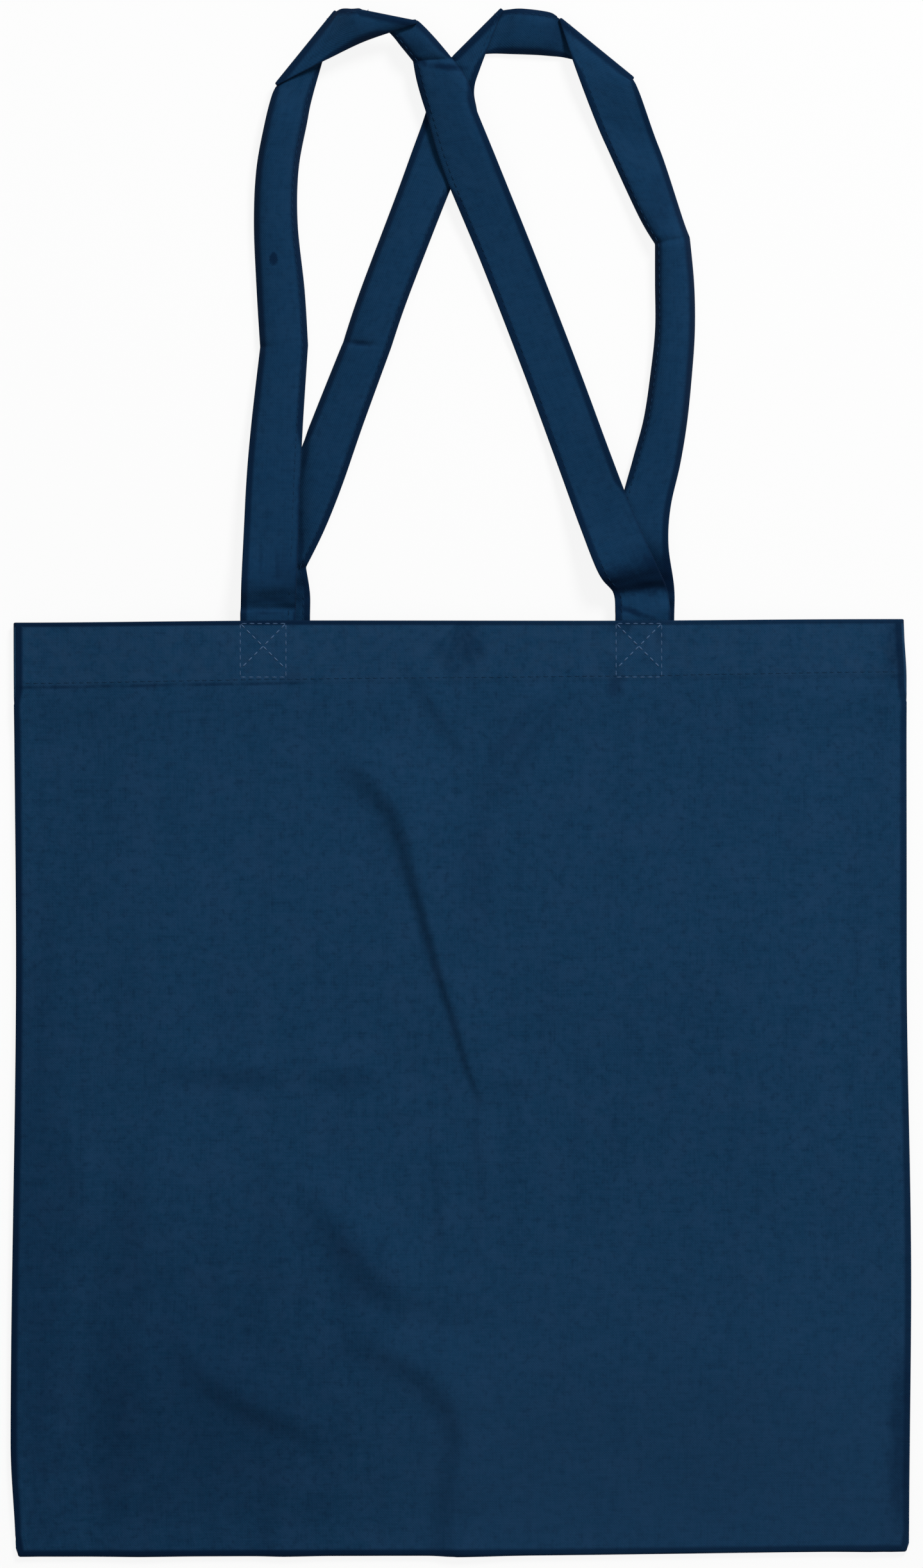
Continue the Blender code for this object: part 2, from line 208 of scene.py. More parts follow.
def makeStage():
    form = bmesh.new()
    bmesh.ops.create_grid(form, x_segments=2, y_segments=2, size=light["floorSize"])
    mesh = bpy.data.meshes.new("floor")
    form.to_mesh(mesh)
    form.free()
    floor = bpy.data.objects.new("floor", mesh)
    floor.location.z = light["floorHeight"] * mm
    scene.collection.objects.link(floor)

    # white to the camera, pale grey to the light
    paint = Paint("pale floor")
    level = light["floorLevel"]
    paint.set("Base Color", (level, level, level, 1.0))
    paint.set("Roughness", 0.9)
    glow = paint.node("ShaderNodeEmission")
    glow.inputs["Color"].default_value = (1.0, 1.0, 1.0, 1.0)
    rays = paint.node("ShaderNodeLightPath").outputs
    seen = paint.math("MAXIMUM", rays["Is Camera Ray"], rays["Is Glossy Ray"])
    seen = paint.math("MAXIMUM", seen, rays["Is Transmission Ray"])
    mixer = paint.node("ShaderNodeMixShader")
    paint.feed(mixer.inputs["Fac"], paint.times(seen, light["floorWhite"]))
    paint.feed(mixer.inputs[1], paint.shader.outputs["BSDF"])
    paint.feed(mixer.inputs[2], glow.outputs["Emission"])
    paint.feed(paint.tree.nodes["Material Output"].inputs["Surface"], mixer.outputs["Shader"])
    mesh.materials.append(paint.material)

    world = bpy.data.worlds.new("studio")
    scene.world = world
    world.use_nodes = True
    nodes = world.node_tree.nodes
    links = world.node_tree.links
    sky = nodes["Background"]
    skySeen = nodes.new("ShaderNodeBackground")
    for background, strength in ((sky, light["worldLevel"]), (skySeen, 1.0)):
        background.inputs["Color"].default_value = (1.0, 1.0, 1.0, 1.0)
        background.inputs["Strength"].default_value = strength
    skyPath = nodes.new("ShaderNodeLightPath")
    skyMix = nodes.new("ShaderNodeMixShader")
    links.new(skyPath.outputs["Is Camera Ray"], skyMix.inputs["Fac"])
    links.new(sky.outputs["Background"], skyMix.inputs[1])
    links.new(skySeen.outputs["Background"], skyMix.inputs[2])
    links.new(skyMix.outputs["Shader"], nodes["World Output"].inputs["Surface"])

    makeLamp("window", light["keyPlace"], light["keySize"], light["keyPower"])
    makeLamp("overhead", light["fillPlace"], light["fillSize"], light["fillPower"])
    scene.view_settings.view_transform = "Standard"


# Cotton

cotton = {
    # dark, middle and light tone of the bag's cloth and of the straps
    "cloth": ((0.0022, 0.0182, 0.0485), (0.0050, 0.0355, 0.0852), (0.0106, 0.0422, 0.1000)),
    "strap": ((0.0020, 0.0190, 0.0520), (0.0037, 0.0292, 0.0752), (0.0069, 0.0346, 0.0845)),
    # dark colour for the painted shade in creases, hollows and along edges, and for the dark mark on a strap
    "markAndShadeDark": (0.0004, 0.0080, 0.0285),
    "worn": (0.0140, 0.0445, 0.0980),
    "thread": (0.0620, 0.1200, 0.2250),
    "hemThread": (0.0056, 0.0315, 0.0770),
    "strapThread": (0.0036, 0.0265, 0.0700),
    "yarnPitch": 0.52,
    "patchScale": 62.0,
    "streakScale": (110.0, 15.0, 1.0),
    "speckScale": 270.0,
    "bumpHeight": 0.08,
    "roughness": 0.88,
    "sheen": 0.01,
    "edgeShade": (3.5, 1.7),         # how far in from an edge its painted shade starts, and where it is full
}


def weave(paint, cloth):
    # A plain weave over the cloth's own measure: its crowns, and the uneven yarns both ways.
    across, along = paint.split(cloth)
    wander = paint.noise(cloth, 260.0, 2.0)
    drift = paint.times(paint.math("SUBTRACT", wander, 0.5), 1.6)
    turns = math.pi / (cotton["yarnPitch"] * mm)
    across = paint.math("ADD", paint.times(across, turns), drift)
    along = paint.math("ADD", paint.times(along, turns), drift)
    checks = paint.times(paint.math("SINE", across), paint.math("SINE", along))
    warp = paint.noise(paint.stretch(cloth, (1900.0, 60.0, 1.0)), 1.0, 1.0)
    weft = paint.noise(paint.stretch(cloth, (60.0, 1900.0, 1.0)), 1.0, 1.0)
    return checks, warp, weft


def clothFinish(paint, cloth, tones):
    # Uneven dye, yarn streaks, weave and fuzz over the cloth.
    checks, warp, weft = weave(paint, cloth)
    dark, middle, pale = tones
    patches = paint.noise(cloth, cotton["patchScale"], 4.0, 0.68)
    streaks = paint.noise(paint.stretch(cloth, cotton["streakScale"]), 1.0, 3.0, 0.6)
    specks = paint.noise(cloth, cotton["speckScale"], 4.0, 0.72)
    colour = paint.mix(paint.step(patches, 0.44, 0.66, 0.0, 0.55), middle, pale)
    colour = paint.mix(paint.step(streaks, 0.52, 0.34, 0.0, 0.16), colour, dark)
    colour = paint.mix(paint.step(specks, 0.53, 0.31, 0.0, 0.60), colour, dark)
    colour = paint.mix(paint.step(specks, 0.50, 0.66, 0.0, 0.55), colour, pale)
    yarn = paint.math("ADD", warp, weft)
    colour = paint.mix(paint.step(yarn, 0.86, 1.22, 0.0, 0.4), colour, pale)
    colour = paint.mix(paint.step(checks, 0.1, -0.9, 0.0, 0.35), colour, dark)
    height = paint.math("ADD", checks, paint.times(yarn, 1.1))
    height = paint.math("ADD", height, paint.times(specks, 1.5))
    paint.bump(height, 0.55, cotton["bumpHeight"])
    rough = paint.step(specks, 0.3, 0.7, cotton["roughness"] - 0.06, cotton["roughness"] + 0.08)
    paint.set("Roughness", rough)
    paint.set("Specular IOR Level", 0.05)
    paint.set("Sheen Weight", cotton["sheen"])
    paint.set("Sheen Roughness", 0.6)
    return colour


def clothMeasure(paint):
    return paint.node("ShaderNodeUVMap", uv_map="cloth").outputs["UV"]


def spotReach(paint, surface, x, y, wide, tall, turn=0.0):
    # how far off a spot's middle, in shares of its half width and half height
    spot = paint.node("ShaderNodeMapping", vector_type="TEXTURE")
    paint.feed(spot.inputs["Vector"], surface)
    spot.inputs["Location"].default_value = (x * mm, y * mm, 0.0)
    spot.inputs["Rotation"].default_value = (0.0, 0.0, math.radians(turn))
    spot.inputs["Scale"].default_value = (wide * mm, tall * mm, 1.0)
    reach = paint.node("ShaderNodeVectorMath", operation="LENGTH")
    paint.feed(reach.inputs[0], spot.outputs["Vector"])
    return reach.outputs["Value"]


def paintedShadeSpots(paint, surface, colour, spots, top, way):
    # painted shade: darker spots with ragged borders, where hollows and folds fall in shade
    rough = paint.times(paint.noise(surface, 110.0, 5.0, 0.75), 1.9)
    for x, y, wide, tall, turn, depth in spots:
        ragged = paint.math("ADD", spotReach(paint, surface, x, top + way * y, wide, tall, turn), rough)
        colour = paint.darken(paint.step(ragged, 2.2, 1.1, 0.0, depth), colour)
    return colour


def edgeShade(paint, toEdge, depth=1.0):
    # painted shade along an edge, where the cloth rolls away from the light
    start, full = cotton["edgeShade"]
    return paint.step(toEdge, start * mm, full * mm, 0.0, depth)


def bagCotton():
    paint = Paint("navy cotton")
    cloth = clothMeasure(paint)
    across, along = paint.split(cloth)
    colour = clothFinish(paint, cloth, cotton["cloth"])
    # painted light: the lower right of the front cloth is painted lighter, where more light falls on it
    lower = paint.step(along, 230.0 * mm, 380.0 * mm)
    inner = paint.step(across, -60.0 * mm, 10.0 * mm)
    paintedLight = paint.times(paint.times(lower, inner), 0.3)
    colour = paint.mix(paintedLight, colour, cotton["cloth"][2])
    # painted shade spots where the cloth's hollows and folds fall in shade
    colour = paintedShadeSpots(paint, cloth, colour, bag["paintedShadeSpots"], 0.0, -1.0)

    # painted shade: the cloth is painted darker on the shaded flank of each crease
    colour = paint.darken(paint.times(paint.attribute("crease"), bag["creaseShadeDepth"]), colour)

    # the doubled hem is a little lighter, and painted shade darkens the line under its step, mostly at the
    # left
    folded = paint.math("PINGPONG", along, bagHeight * mm)
    slant = paint.times(across, bag["hemSlant"] / (bagWidth / 2))
    below = paint.math("SUBTRACT", paint.math("SUBTRACT", folded, slant), bag["hemDepth"] * mm)
    worn = paint.step(paint.noise(cloth, 150.0, 4.0, 0.7), 0.40, 0.62, 0.0, 0.9)
    worn = paint.times(paint.step(below, 0.8 * mm, -0.8 * mm), worn)
    colour = paint.mix(paint.times(worn, 0.36), colour, cotton["worn"])
    line = paint.math("ABSOLUTE", paint.math("SUBTRACT", below, 0.5 * mm))
    line = paint.step(line, 1.2 * mm, 0.1 * mm)
    patches = paint.noise(cloth, 120.0, 3.0, 0.7)
    line = paint.times(line, paint.step(patches, 0.40, 0.58, 0.25, 1.0))
    side = paint.step(across, -58.0 * mm, -78.0 * mm, 0.06, 0.5)
    colour = paint.darken(paint.times(line, side), colour)

    # painted shade along the edges, where the cloth rolls away from the light: side seams, mouth and bottom
    # fold, deeper on the left side
    side = paint.math("SUBTRACT", bagWidth / 2 * mm, paint.math("ABSOLUTE", across))
    mouth = paint.times(paint.math("ABSOLUTE", folded), 1.5)
    near = paint.math("MINIMUM", paint.math("ABSOLUTE", side), mouth)
    foot = paint.math("ABSOLUTE", paint.math("SUBTRACT", folded, bagHeight * mm))
    near = paint.math("MINIMUM", near, foot)
    depth = paint.step(across, 90.0 * mm, -90.0 * mm, 0.66, 0.9)
    colour = paint.darken(paint.times(edgeShade(paint, near), depth), colour)
    paint.set("Base Color", colour)
    return paint.material


def strapCotton():
    paint = Paint("navy strap")
    cloth = clothMeasure(paint)
    colour = clothFinish(paint, cloth, cotton["strap"])
    # painted shade along the strap's edges and folds, where the cloth turns away from the light
    colour = paint.darken(edgeShade(paint, paint.attribute("toEdge"), 0.82), colour)

    # painted shade: the straps are darker in the folded bands where they are gathered, just before their
    # sewn ends
    rough = paint.times(paint.noise(cloth, 130.0, 4.0, 0.7), 13.0 * mm)
    for name, start, end, depth in strap["gathered"]:
        toEnd = paint.math("ADD", paint.attribute(name), rough)
        first = paint.step(toEnd, (start + 4.0) * mm, (start + 9.0) * mm)
        last = paint.step(toEnd, (end + 11.0) * mm, (end + 2.0) * mm)
        band = paint.times(paint.times(first, last), depth)
        colour = paint.darken(band, colour)

    # a small dark mark on the front handle
    place = paint.node("ShaderNodeTexCoord").outputs["Object"]
    x, y = strap["markPlace"]
    mark = spotReach(paint, place, x, mouthY + y, *strap["markSize"])
    ragged = paint.math("ADD", mark, paint.noise(place, 900.0, 2.0))
    colour = paint.darken(paint.step(ragged, 1.7, 1.1, 0.0, 0.75), colour)
    # painted shade spots on the straps, in hollows and beside the other strap
    colour = paintedShadeSpots(paint, place, colour, strap["paintedShadeSpots"], mouthY, 1.0)
    paint.set("Base Color", colour)
    return paint.material


def threadPaint(name, colour):
    paint = Paint(name)
    place = paint.node("ShaderNodeTexCoord").outputs["Object"]
    twist = paint.noise(place, 2400.0, 1.0)
    shade = paint.mix(paint.step(twist, 0.35, 0.65), [0.8 * part for part in colour], colour)
    paint.set("Base Color", shade)
    paint.bump(twist, 0.4, 0.05)
    paint.set("Roughness", 0.8)
    paint.set("Specular IOR Level", 0.1)
    return paint.material


def finishPiece(name, form, paint, nodes):
    mesh = bpy.data.meshes.new(name)
    form.to_mesh(mesh)
    form.free()
    mesh.shade_smooth()
    mesh.materials.append(paint)
    piece = bpy.data.objects.new(name, mesh)
    scene.collection.objects.link(piece)
    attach(piece, "root")
    if nodes:
        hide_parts(*nodes)
    return piece


def writeMeasure(form, laid):
    # where each vertex lies on the flat cloth, as a UV map
    measure = form.loops.layers.uv.new("cloth")
    for face in form.faces:
        for loop in face.loops:
            loop[measure].uv = laid[loop.vert]


def thicken(piece, thickness):
    wall = piece.modifiers.new("thickness", "SOLIDIFY")
    wall.thickness = thickness * mm
    wall.offset = 0.0


# The bag: one length of cotton, folded at the bottom, seamed at the sides, hemmed at the mouth

bag = {
    "cloth": 0.45,
    "ply": 0.75,               # from the middle of one layer to the next
    "hemDepth": 25.2,
    "hemSlant": -1.9,          # the hem is deeper at the left than at the right
    "hemLift": 0.975,          # height of the back cloth over its own hem
    "seamAllowance": 8.0,
    "runOut": 24.0,            # where the allowance is swallowed by the hem and by the fold
    "sideTurn": 86.0,          # degrees the cloth turns round a side where it has no seam
    "corner": 3.0,
    "pocket": 9.0,
    "mouth": 9.5,
    "mouthSide": 2.8,
    "foldHeight": 1.8,
    "slopeWidth": 70.0,
    "footSlope": 90.0,
    "creaseShadeDepth": 0.40,
    "ripples": ((0.85, 95.0, 3.1), (0.42, 38.0, 7.7)),     # slack in the cloth: height, size, seed
    # heights of the smaller relief on the front cloth
    "wrinkle": 0.12,
    "hemStep": 0.22,
    "seamRidge": 0.30,
    "sidePucker": 0.20,
    "hemPucker": 0.13,
    "fineRows": 31.5,          # how far down from the mouth the rows have places of their own
    "cells": ((-1000, 3.0), (-62, 1.5), (26, 3.0)),        # widths of the grid's cells across the bag
    "rows": ((-1000, 2.6), (-232, 1.8)),                   # and down it
    "backCell": 9.0,
    # painted shade spots: x, y, half the width, half the height, how far turned, and how deep
    "paintedShadeSpots": (
        (3, -10, 9, 11, 0, 0.45), (-6, -16, 4, 14, -25, 0.25), (66, -25, 4, 9, 0, 0.45),
        (23, -48, 4, 24, 36, 0.22), (70, -3, 9, 3, 0, 0.35), (187, -13, 6, 14, 0, 0.5),
        (-72, -24, 5, 5, 0, 0.35), (86, -8, 2.5, 7, 0, 0.3),
        (8, -105, 9, 36, 0, 0.12), (-96, -194, 26, 7, 0, 0.14), (-48, -195, 13, 7, 0, 0.14),
        (-50, -268, 18, 26, -38, 0.14), (-46, -300, 16, 22, 0, 0.10), (-96, -345, 40, 60, -30, 0.08),
        (-146, -345, 14, 50, 5, 0.12), (-139, -258, 8, 42, 0, 0.08), (186, -352, 5.5, 48, 0, 0.5),
        (-120, -330, 85, 95, 0, 0.20), (-181, -270, 15, 180, 0, 0.24)),
    "leftEdge": ((-398, -189.4), (-350, -191.6), (-145, -189.3), (0, -190.3)),
    "rightEdge": ((-396, 191.0), (-282, 191.9), (-145, 190.0), (-26, 189.9), (0, 188.7)),
    "mouthLine": ((-190, -0.6), (-60, 0.2), (60, 0.1), (190, 0.9)),
    "footLine": ((-190, -0.4), (0, 0.0), (190, 1.8)),
}

# Each crease is a ridge: points down its length, then, spaced evenly along it, its heights, the
# widths of its left flank and those of its right flank
creases = (
    (((-52, -50), (-44, -58), (-35.5, -68), (-26, -79), (-21.2, -93), (-18, -109), (-13.5, -127),
      (-7.6, -149), (-1.4, -170), (4, -189), (8.6, -202), (9.4, -214)),
     (0, 2.4, 3.2, 2.8, 2.4, 2.1, 1.7, 1.2, 0), (8, 5.8, 3, 2.1, 1.6), (20, 18, 14, 10)),
    (((9, -203), (8, -215), (9.6, -230), (9, -250)), (0, 0.5, 0.4, 0), (2.5, 2.5), (8, 8)),
    (((-24, -12), (-18, -23), (-10, -36), (-1, -50), (6, -60)),
     (0, 0.7, 0.9, 0.6, 0), (3.2, 3.2), (9, 9)),
    (((-36, -31), (-32, -37), (-26, -47)), (0, 0.4, 0), (3, 3), (6, 6)),
    (((41, -24), (34, -39), (26, -51), (16, -68), (9, -80)),
     (0, 1.4, 1.5, 1.1, 0), (11, 11), (4.6, 4.6)),
    (((9, -72), (8, -100), (7, -128), (5, -150)), (0, 0.6, 0.6, 0), (9, 9), (9, 9)),
    (((-134, -188), (-118, -189), (-98, -190), (-76, -190), (-62, -190), (-46, -191), (-26, -193)),
     (0, 0.7, 0.5, 0.8, 0.1, 0.7, 0.4, 0), (6, 6), (11, 11)),
    (((8, -194), (20, -194.5), (36, -195)), (0, 0.6, 0), (3.5, 3.5), (9, 9)),
    (((-48, -208), (-28, -208), (-8, -210)), (0, 0.35, 0), (4, 4), (8, 8)),
    (((-9, -212), (-8, -230), (-7.5, -250), (-5, -276)), (0, 0.6, 0.7, 0), (3, 3), (8, 8)),
    (((-70, -232), (-58, -246), (-48, -259), (-37, -274), (-24, -284), (0, -289), (30, -291)),
     (0, 1.3, 2.4, 2.2, 1, 0.4, 0), (7, 8.5, 9, 9, 9), (13, 16)),
    (((-124, -298), (-115, -311), (-103, -323), (-88, -332), (-70, -340), (-50, -346)),
     (0, 1, 1.8, 1.8, 1.1, 0), (5.5, 6.5, 7), (12, 12)),
    (((-52, -297), (-41, -304), (-26, -311), (-12, -319), (-0.5, -334), (2.5, -350), (-1.5, -368),
      (-3, -382), (-3, -394)),
     (0, 1.3, 1.9, 2.2, 2.2, 2, 2.1, 2.3, 2.4), (7.5, 7.5, 6.5, 6), (14, 20)),
    (((-136, -206), (-135, -232), (-134, -268), (-137, -318), (-137, -366), (-138, -392)),
     (0, 0.9, 0.9, 1.4, 1.4, 1), (12, 12), (18, 18)),
    (((-76, -216), (-76, -240), (-76, -268), (-79, -296)), (0, 0.6, 0.6, 0), (7, 7), (12, 12)),
    (((-163, -210), (-161, -236), (-163, -276)), (0, 0.9, 0), (7, 7), (12, 12)),
    (((-74, -356), (-74, -376), (-76, -394)), (0, 1, 1.2), (7, 7), (12, 12)),
    (((176, -286), (177, -340), (177, -394)), (0, 0.9, 0.9), (12, 12), (7, 7)),
    (((181, -6), (186, -15), (187, -25)), (0, 0.6, 0), (2.5, 2.5), (2.5, 2.5)),
    (((179, -17), (185, -29)), (0, 0.6, 0), (2.5, 2.5), (2.5, 2.5)),
)


def spread(values, share):
    # a value read off an evenly spaced list
    place = share * (len(values) - 1)
    index = min(int(place), len(values) - 2)
    return between(values[index], values[index + 1], ease(place - index))


def creaseRun(crease):
    # the crease with the lengths of its parts and the box it stays in
    points, heights, leftFlank, rightFlank = crease
    reach = 2.6 * max(*leftFlank, *rightFlank)
    across = [point[0] for point in points]
    along = [point[1] for point in points]
    box = (min(across) - reach, max(across) + reach, min(along) - reach, max(along) + reach)
    parts = []
    passed = 0.0
    for p, q in zip(points, points[1:]):
        length = math.dist(p, q)
        parts.append((p[0], p[1], q[0] - p[0], q[1] - p[1], length, passed))
        passed += length
    return box, parts, passed, heights, leftFlank, rightFlank


creaseRuns = [creaseRun(crease) for crease in creases]


def creaseAt(x, y):
    # how high the creases lift the cloth, and how deep in the shade of one the place is
    total = 0.0
    shade = 0.0
    for box, parts, whole, heights, leftFlank, rightFlank in creaseRuns:
        if not (box[0] < x < box[1] and box[2] < y < box[3]):
            continue
        nearest = None
        for px, py, ax, ay, length, passed in parts:
            share = ((x - px) * ax + (y - py) * ay) / (length * length)
            share = min(max(share, 0.0), 1.0)
            dx, dy = x - px - ax * share, y - py - ay * share
            away = math.hypot(dx, dy)
            if nearest is None or away < nearest[0]:
                right = dx * -ay + dy * ax > 0.0
                nearest = (away, right, (passed + share * length) / whole)
        away, right, share = nearest
        flank = spread(rightFlank if right else leftFlank, share)
        height = spread(heights, share)
        if away < 2.6 * flank:
            total += height * math.exp(-(away / flank) ** 2)
        if right == (rightFlank[0] < leftFlank[0]):
            steep = min(height / flank, 1.0) ** 0.8
            shade = max(shade, steep * math.exp(-((away / flank - 0.85) / 0.75) ** 2))
    return total, shade


def ripple(x, y, size, seed):
    return noise.noise(Vector((x / size, y / size, seed)))


def hemEdge(x):
    return bag["hemDepth"] + bag["hemSlant"] * x / (bagWidth / 2)


def seamRun(y):
    below = ease((-y - bag["hemDepth"] - 2.5) / bag["runOut"])
    above = ease((y + bagHeight - 3.0) / bag["runOut"])
    return below, above


def sideHeight(y):
    below, above = seamRun(y)
    height = between(bag["mouthSide"], 3.0 * bag["ply"], below)
    return between(bag["foldHeight"], height, above)


def pocketHeight(x, y):
    middle = between(bag["pocket"], bag["mouth"], ease(1.0 + (y + bag["hemDepth"]) / 60.0))
    middle = between(bag["foldHeight"], middle, ease((y + bagHeight) / bag["footSlope"]))
    edge = sideHeight(y)
    inward = ease((bagWidth / 2 - abs(x)) / bag["slopeWidth"])
    return between(edge, max(middle, edge), inward)


def backHeight(y):
    return between(bag["hemLift"], bag["cloth"] / 2, seamRun(y)[0])


def looseness(x, y):
    # 0 at the sewn edges and the folds, 1 out in the free cloth.
    side = ease((bagWidth / 2 - abs(x) - 3.0) / 26.0)
    top = ease((-y - bag["hemDepth"] * 0.2) / 34.0)
    foot = ease((y + bagHeight - 2.0) / 30.0)
    return side * between(0.25, 1.0, top) * foot


def frontRelief(x, y):
    # Wrinkles, the hem's step and the side seams' ridges on the front cloth.
    free = looseness(x, y)
    relief = free * sum(height * ripple(x, y, size, seed) for height, size, seed in bag["ripples"])
    relief += between(0.35, 1.0, free) * bag["wrinkle"] * ripple(x * 1.5, y, 14.0, 12.4)
    relief += creaseAt(x, y)[0] * max(free, 0.5)
    relief += bag["hemStep"] * ease((y + hemEdge(x) + 1.6) / 3.2)
    inset = bagWidth / 2 - abs(x)
    band = ease((bag["seamAllowance"] + 1.0 - inset) / 1.8) * ease(inset / 2.0)
    relief += bag["seamRidge"] * band * seamRun(y)[0] * (0.6 + 0.5 * ripple(x, y, 60.0, 1.7))
    pucker = math.exp(-inset / 9.0) * bag["sidePucker"]
    relief += pucker * noise.noise(Vector((x / 30.0, y / 7.0, 5.5))) * ease(inset / 3.0)
    pucker = math.exp(-((y + bag["hemDepth"]) / 8.0) ** 2) * bag["hemPucker"]
    relief += pucker * noise.noise(Vector((x / 6.0, y / 14.0, 9.1)))
    return relief


def sidePlace(out, y, ply):
    # From how far along the cloth's width, to how far in from the side and how far down.
    turn = bag["ply"] / 2
    radius = sideHeight(y) / 2 - ply * bag["ply"]
    below, above = seamRun(y)
    share = min(below, above)
    arc = math.pi * turn
    if out < arc:
        angle = out / turn
        sewn = (turn - turn * math.sin(angle), turn - turn * math.cos(angle))
    else:
        sewn = (turn + out - arc, 2.0 * turn)
    swing = math.radians(bag["sideTurn"]) * ease(out / (arc + bag["seamAllowance"]))
    plain = (ply * bag["ply"] + radius * (1.0 - math.sin(swing)), radius * (1.0 - math.cos(swing)))
    return between(plain[0], sewn[0], share), between(plain[1], sewn[1], share)


def sideInset(y):
    # how far in the blend of seam and hem would draw the bag's outline
    return min(sidePlace(out, y, 0)[0] for out in (0.0, 0.3, 0.6, 0.9, 1.2, 2.0, 3.5, 5.5, 7.5, 9.1))


def crossPlace(s, y, ply):
    # Where a point across the cloth lies: x, and how far under the front cloth's middle.
    left = readCurve(bag["leftEdge"], y)
    right = readCurve(bag["rightEdge"], y)
    corner = bag["corner"]
    foot = min(max(y + bagHeight, 0.0), corner)
    missing = corner - math.sqrt(corner ** 2 - (corner - foot) ** 2)
    half = bagWidth / 2
    turn = bag["ply"] / 2
    straight = half - turn
    inset = sideInset(y)
    if abs(s) <= straight:
        edgeIn, edgeDown = sidePlace(0.0, y, ply)
        x = s * (half - edgeIn + inset) / straight
        drop = edgeDown
    else:
        edgeIn, drop = sidePlace(abs(s) - straight, y, ply)
        x = math.copysign(half - edgeIn + inset, s)
    share = (x + half) / (2.0 * half)
    x += between(left + half, right - half, share) - math.copysign(missing, x) * ease(abs(x) / half)
    return x, drop + ply * bag["ply"]


def frontPoint(s, y, ply):
    x, drop = crossPlace(s, y, ply)
    top = backHeight(y) + pocketHeight(x, y) + frontRelief(x, y)
    return Vector((x, y, top - drop))


def backPoint(s, y, ply):
    x, drop = crossPlace(s, y, ply)
    lift = 0.0
    if ply == 0:
        lift = 0.10 * max(0.0, ripple(x, y, 50.0, 21.0)) * looseness(x, y)
    return Vector((x, y, backHeight(y) + drop + lift))


def edgeShift(point):
    # The mouth and the bottom fold aren't quite straight.
    shift = readCurve(bag["mouthLine"], point.x) * ease((point.y + 150.0) / 150.0)
    shift += readCurve(bag["footLine"], point.x) * ease((-point.y - 250.0) / 148.0)
    return Vector((0.0, shift, 0.0))


def cellEdges(first, last, sizes):
    # Steps from first to last, of the sizes asked for from each place on.
    edges = [first]
    for (place, size), following in zip(sizes, [*[s[0] for s in sizes[1:]], last]):
        begin = edges[-1]
        steps = max(1, round((following - begin) / size))
        edges += [between(begin, following, step / steps) for step in range(1, steps + 1)]
    return edges


def clothAcross():
    # Places across the cloth, finer round the side folds.
    half = bagWidth / 2 - bag["ply"] / 2
    middle = cellEdges(-half, half, bag["cells"])
    arc = math.pi * bag["ply"] / 2
    past = [arc * share for share in (0.25, 0.5, 0.75, 1.0)]
    past += [arc + bag["seamAllowance"] * share for share in (0.1, 0.4, 0.7, 0.95, 1.0)]
    left = [-half - step for step in reversed(past)]
    right = [half + step for step in past]
    return left + middle + right


def clothAlong():
    # Rows of the cloth from the front hem's inner edge to the back one's, as (kind, y or turn).
    turn = bag["ply"] / 2
    hem = [bag["hemDepth"] * share for share in (1.0, 0.9, 0.6, 0.3, 0.08)]
    top = [turn, 1.2, 2.4, 5.0, 8.0, 11.0, 14.0, 17.0, 20.0]
    top += [22.0 + 0.75 * step for step in range(10)]
    lowest = bagHeight - bag["foldHeight"] / 2
    front = [-y for y in reversed(cellEdges(-lowest, -bag["fineRows"], bag["rows"]))]
    backSteps = round((lowest - bag["fineRows"]) / bag["backCell"])
    back = [between(lowest, bag["fineRows"], step / backSteps) for step in range(backSteps + 1)]
    rows = [("frontHem", depth) for depth in hem]
    rows += [("frontTurn", angle) for angle in (150, 120, 90, 60, 30)]
    rows += [("front", depth) for depth in top + front]
    rows += [("fold", angle) for angle in (30, 60, 90, 120, 150)]
    rows += [("back", depth) for depth in back + [29.0, 26.0, 18.0, 9.0, turn]]
    rows += [("backTurn", angle) for angle in (30, 60, 90, 120, 150)]
    rows += [("backHem", depth) for depth in reversed(hem)]
    return rows


def clothPoint(s, kind, at):
    # A point of the cloth and how far along the cloth it is.
    turn = bag["ply"] / 2
    if kind == "frontHem":
        return frontPoint(s, -at, 1), -at
    if kind == "backHem":
        return backPoint(s, -at, 1), 2.0 * bagHeight + at
    if kind in ("frontTurn", "backTurn"):
        swing = math.radians(at)
        place = frontPoint if kind == "frontTurn" else backPoint
        outer = place(s, -turn, 0)
        inner = place(s, -turn, 1)
        point = outer.lerp(inner, (1.0 - math.cos(swing)) / 2.0)
        point.y = -turn + turn * math.sin(swing)
        return point, 0.0 if kind == "frontTurn" else 2.0 * bagHeight
    if kind == "front":
        return frontPoint(s, -at, 0), at
    if kind == "back":
        return backPoint(s, -at, 0), 2.0 * bagHeight - at
    y = -bagHeight + bag["foldHeight"] / 2
    upper = frontPoint(s, y, 0)
    lower = backPoint(s, y, 0)
    middle = (upper + lower) / 2.0
    radius = (upper.z - lower.z) / 2.0
    swing = math.radians(at)
    point = Vector((upper.x, y - radius * math.sin(swing), middle.z + radius * math.cos(swing)))
    return point, bagHeight


